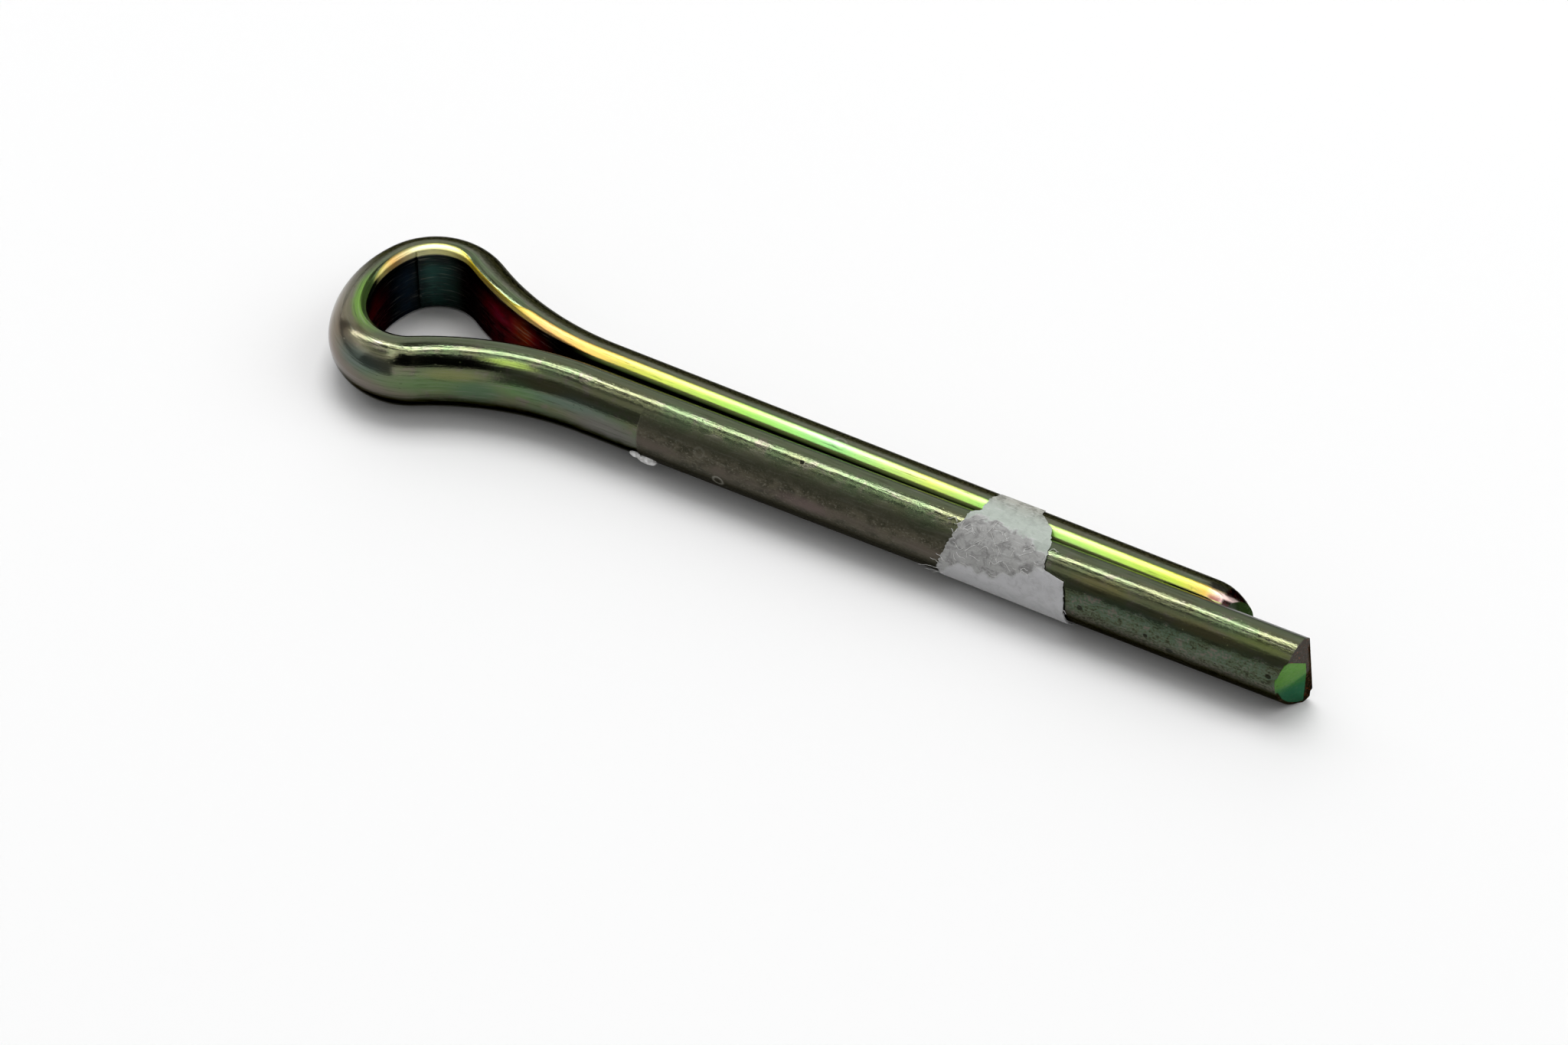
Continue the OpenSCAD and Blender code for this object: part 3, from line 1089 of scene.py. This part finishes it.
# %% Make the fibres a mesh
fibres = bpy.data.objects.new("tape_fibres", fibre_curve)
bpy.context.collection.objects.link(fibres)
deselect_everything()
fibres.select_set(True)
bpy.context.view_layer.objects.active = fibres
bpy.ops.object.convert(target="MESH")
fibres = bpy.context.object
bpy.ops.object.shade_smooth()
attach(fibres, "root")
print("faces in the fibres:", len(fibres.data.polygons))


# %% [markdown]
# ## A crumb of paper
#
# A white crumb of the same paper, with a smaller tail, clings to the long leg's
# lower edge near the neck. Each half is a ball that is roughened, smoothed and
# pressed flat, which gives the soft lumps of crumpled paper.

# %% Crumple the crumb
def crumb(name, x, turn, size, seed):
    deselect_everything()
    bpy.ops.mesh.primitive_ico_sphere_add(subdivisions=4, radius=1)
    piece = bpy.context.object
    piece.name = piece.data.name = name
    edit_all()
    bpy.ops.transform.vertex_random(offset=0.16, seed=seed, normal=0.4)
    bpy.ops.mesh.vertices_smooth(factor=0.5)
    bpy.ops.transform.resize(value=Vector(size) * MM, center_override=(0, 0, 0))
    bpy.ops.transform.translate(value=surface_point(x, turn, 0.0))
    set_mode("OBJECT")
    bpy.ops.object.shade_smooth()
    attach(piece, "root")
    return piece


flakes = [crumb("paper_crumb", 4.05, 121, (0.55, 0.13, 0.26), 3),
          crumb("paper_crumb_tail", 3.45, 114, (0.3, 0.08, 0.2), 5)]
print("crumbs:", [piece.name for piece in flakes])

# %% [markdown]
# ## Paper
#
# The paper is grey and matt, with pale fibres and darker specks of grime. Where
# only the thin skin is left, the metal shows through it, so that zone is
# greener, and its far end is browner. Thin paper could be made to let light
# through, but so close to the metal a tint looks the same and stays simple. The
# layers come from the numbers that the sheet was torn by.

# %% Tint the paper by its layers
paper_look, n = new_material("paper_tape")
layers = n.add("Attribute", 1, {"attribute_name": "layer"})
upper, lower, hundreds = n.parts(layers)
where = n.add("TexCoord", 3)
mottle = n.noise(where, 2200, 5, 0.65, 0.6)
colour = n.mix(lower, (0.4, 0.4, 0.39), (0.52, 0.52, 0.53))
far_skin = n.mix(n.step(mottle, 0.4, 0.62), (0.34, 0.33, 0.29), (0.15, 0.14, 0.11))
skin = n.lay((0.45, 0.5, 0.45), far_skin, n.step(hundreds, 0.0, -0.3), 0.8)
colour = n.lay(colour, skin, n.step(upper, 0, 1, 1, 0))
torn_rim = n.calc("MAXIMUM", n.between(upper, 0.25, 0.75, 0.2),
                  n.between(lower, 0.25, 0.75, 0.2))
colour = n.lay(colour, (0.58, 0.59, 0.58), torn_rim, 0.45)

# %% Grime, strands and the paper's surface
fine = n.noise(where, 9000, 4, 0.7)
stretched = n.add("Mapping", Vector=where, Rotation=(0.2, 0.5, 0.9),
                  Scale=(2200, 14000, 9000))
strands = n.noise(stretched, 1, 3, 0.6, 0.8)
middle = n.times(upper, n.calc("SUBTRACT", 1, lower))
for tint, *masks in (
    ((0.125, 0.122, 0.118), n.step(mottle, 0.42, 0.68), n.shift(0.2, middle, 0.45)),
    ((0.58, 0.59, 0.58), n.step(strands, 0.56, 0.7), 0.6),
    ((0.2, 0.13, 0.13), n.step(fine, 0.62, 0.72), 0.4),
    # the paper is darker towards the legs' undersides
    ((0.24, 0.24, 0.24), n.step(hundreds, 0.82, 1.1), 0.4),
):
    colour = n.lay(colour, tint, *masks)
paper_bump = n.add("Bump", Height=n.shift(fine, strands, 0.6), Distance=0.02 * MM,
                   Strength=0.7)
n.fill(n.shader, Base_Color=colour, Roughness=0.75, Specular_IOR_Level=0.25,
       Normal=paper_bump)
wear(paper_look, tape)
n.count("in the paper")

# %% [markdown]
# ## Frayed paper
#
# Fibres and crumbs are the white inside of the paper, clean and matt, so they
# take a paler finish of their own with a soft tuft pattern.

# %% Tint the frayed paper
fray_look, n = new_material("paper_fray")
tuft = n.noise(n.add("TexCoord", 3), 5200, 4, 0.6)
white_tufts = n.mix(n.step(tuft, 0.35, 0.65), (0.58, 0.58, 0.56), (0.9, 0.9, 0.89))
n.fill(n.shader, Base_Color=white_tufts, Roughness=0.8,
       Normal=n.add("Bump", Height=tuft, Distance=0.03 * MM))
wear(fray_look, fibres, *flakes)
n.count("in the frayed paper")

# %% [markdown]
# ## Table
#
# A plain white table carries the pin and takes its shadow. It is only staging,
# so one large matt plane is enough, at the height of the pin's underside.

# %% Lay the table
deselect_everything()
bpy.ops.mesh.primitive_plane_add(size=4, location=(0, 0, pin_low.z))
floor = bpy.context.object
floor.name = "floor"
bpy.ops.object.transform_apply()
table, n = new_material("white_table")
n.fill(n.shader, Base_Color=(0.92, 0.92, 0.92), Roughness=0.9, Specular_IOR_Level=0)
wear(table, floor)
print("table at, mm:", round(pin_low.z / MM, 2))


# %% [markdown]
# ## Light
#
# Bright metal shows little of its own colour under one lamp: what is seen is
# its surroundings. So the pin stands among large soft cards and two narrow
# ceiling tubes, which draw the long highlights on its round backs. An overhead
# lamp lights the table and the paper alone and isn't mirrored.

# %% Helpers for the lamps
def panel(name, azimuth, elevation, distance, width, height, radiance):
    """A flat lamp that faces the pin. Azimuth 0 is +X and 90 is +Y, in degrees;
    a white thing that mirrors the lamp looks as bright as radiance says."""
    data = bpy.data.lights.new(name, "AREA")
    data.shape = "RECTANGLE"
    data.size, data.size_y = width, height
    data.energy = radiance * pi * width * height
    lamp = bpy.data.objects.new(name, data)
    bpy.context.collection.objects.link(lamp)
    turn, rise = radians(azimuth), radians(elevation)
    toward = Vector((cos(turn) * cos(rise), sin(turn) * cos(rise), sin(rise)))
    lamp.location = toward * distance
    lamp.rotation_euler = (pi / 2 - rise, 0, turn + pi / 2)
    return lamp


def ceiling_panel(name, place, slope, width, height, radiance):
    """A flat lamp that looks straight down, its long side turned to a slope."""
    lamp = panel(name, 0, 90, 1.0, width, height, radiance)
    lamp.location = place
    lamp.rotation_euler = (0, 0, atan(slope))
    return lamp


# %% Place the lamps
panel("key_softbox", 25, 42, 1.5, 1.4, 1.1, 1.2)
panel("back_screen", 138, 26, 1.6, 2.4, 1.3, 0.9)
panel("top_screen", 150, 66, 1.4, 1.4, 1.0, 0.8)
only_mirrored = (
    panel("low_card", -70, 13, 1.5, 0.9, 0.7, 0.9),
    panel("window_card", -99, 52, 1.4, 0.22, 0.42, 2.2),
    ceiling_panel("ceiling_tube", (-0.7, -0.357, 1.0), 0.1, 2.7, 0.042, 31),
    ceiling_panel("second_tube", (-0.7, -0.66, 1.0), 0.21, 2.7, 0.02, 13),
    ceiling_panel("side_strip", (-1.2, -1.3, 1.0), 0.21, 2.0, 0.6, 0.6),
    panel("left_card", -152, 24, 1.5, 1.1, 0.9, 0.5),
)
for lamp in only_mirrored:
    lamp.visible_diffuse = False
overhead = panel("overhead", 110, 70, 1.5, 0.85, 0.8, 4.4)
overhead.visible_glossy = False

# %% [markdown]
# ## The room
#
# The rest of the room is an even pale world. Straight rays to the camera see it
# white, matt surfaces get a good fill from it, and the metal mirrors it dimmer.
# One dark gap between the lamps gives the black streak on the eye.

# %% Fill the room
world = bpy.data.worlds.new("room")
bpy.context.scene.world = world
world.use_nodes = True
room = Nodes(world.node_tree)
east, north, above = room.parts(room.add("TexCoord"))
bearing = room.calc("DEGREES", room.calc("ARCTAN2", north, east))
height = room.calc("DEGREES", room.calc("ARCSINE", above))
gap_in_lamps = room.times(room.between(bearing, -90, -60, 1.5),
                          room.between(height, 28, 60, 2))
tint = room.mix(gap_in_lamps, (1, 1, 1), (0.02, 0.02, 0.02))
seen_by = room.tree.nodes.new("ShaderNodeLightPath").outputs
matt_fill, mirrored_fill, white_backdrop = 0.35, 0.21, 0.95
strength = room.shift(matt_fill, seen_by["Is Glossy Ray"], mirrored_fill - matt_fill)
strength = room.calc("MAXIMUM", strength,
                     room.times(seen_by["Is Camera Ray"], white_backdrop))
room.fill(room.tree.nodes["Background"], Color=tint, Strength=strength)
room.count("in the room")

# %% [markdown]
# ## Camera
#
# The pin is seen from above and a little from the tips' side, through a long
# lens, so that the legs hardly taper.

# %% Set the camera
heading = radians(29.75)
elevation = radians(45.57)
roll = radians(-0.8)
distance = 330.25 * MM
target = Vector((12.888, -3.797, 0)) * MM

facing = (Matrix.Rotation(heading, 4, "Z") @ Matrix.Rotation(pi / 2 - elevation, 4, "X")
          @ Matrix.Rotation(roll, 4, "Z"))
camera_data = bpy.data.cameras.new("camera")
camera_data.lens = 152.83
camera_data.sensor_width = 36
camera_data.clip_start = 10 * MM
camera = bpy.data.objects.new("camera", camera_data)
bpy.context.collection.objects.link(camera)
camera.matrix_world = Matrix.Translation(target) @ facing @ Matrix.Translation(
    (0, 0, distance))
bpy.context.scene.camera = camera
bpy.context.scene.view_settings.view_transform = "Standard"
print("camera at, mm:", [round(c / MM, 1) for c in camera.matrix_world.translation])
